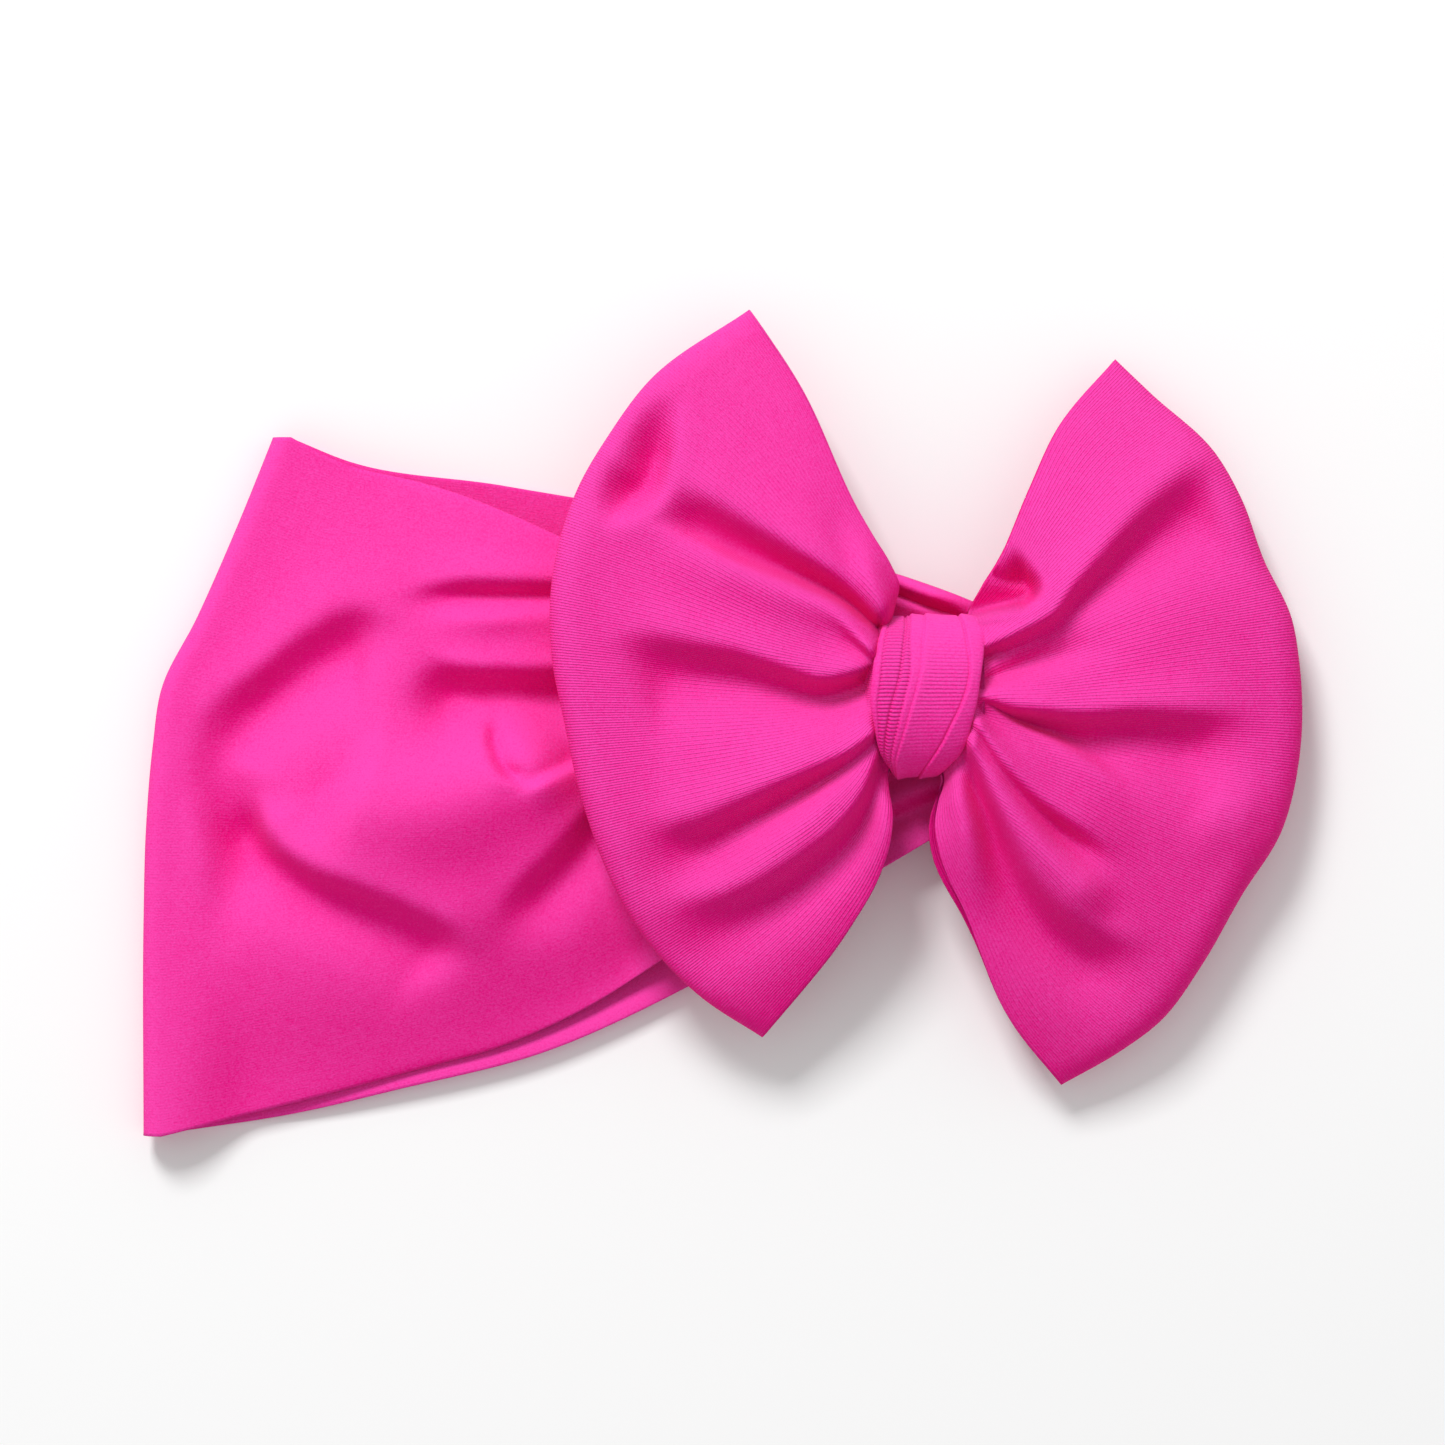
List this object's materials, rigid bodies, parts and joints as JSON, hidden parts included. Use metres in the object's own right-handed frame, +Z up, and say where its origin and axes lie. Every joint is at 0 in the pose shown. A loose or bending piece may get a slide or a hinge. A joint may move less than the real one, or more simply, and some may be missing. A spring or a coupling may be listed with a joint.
{
  "type": "bow headband",
  "caption": "Soft stretch-knit head wrap laid flat: a wide band loop gathered under a large winged bow that a pleated knot of the same cloth holds.",
  "frame": {"origin": "centre of the laid-flat wrap's outline, on the surface it lies on", "axes": "+X to the bow's right wing, away from the band's fold; +Y to the band's top edge; +Z up from the surface, out of the bow's front"},
  "size_m": [0.2513, 0.1782, 0.0301],
  "materials": {
    "band_fabric": "brushed stretch knit",
    "bow_fabric": "brushed stretch knit",
    "knot_fabric": "ribbed stretch knit",
    "thread": "sewing thread"
  },
  "bodies": {
    "band_back": {"band_back_layer": "band_fabric", "band_left_fold": "band_fabric"},
    "band_front": {"band_front_layer": "band_fabric", "band_right_turn": "band_fabric", "band_gather": "band_fabric", "gather_thread": "thread", "bow_waist": "bow_fabric", "waist_thread": "thread", "knot_wrap": "knot_fabric", "knot_tail": "knot_fabric", "knot_stitches": "thread"},
    "left_wing": {"bow_left_loop": "bow_fabric"},
    "right_wing": {"bow_right_loop": "bow_fabric"}
  },
  "joints": [
    {"name": "loop_open", "type": "slide", "parent": "band_back", "child": "band_front", "axis": [0, 0, 1], "range_m": [0, 0.03]},
    {"name": "left_wing_lift", "type": "hinge", "parent": "band_front", "child": "left_wing", "pos_m": [0.0321, 0.0056, 0.0265], "axis": [0, 1, 0], "range_deg": [0, 60]},
    {"name": "right_wing_lift", "type": "hinge", "parent": "band_front", "child": "right_wing", "pos_m": [0.0555, 0.0056, 0.0265], "axis": [0, -1, 0], "range_deg": [0, 60]}
  ]
}
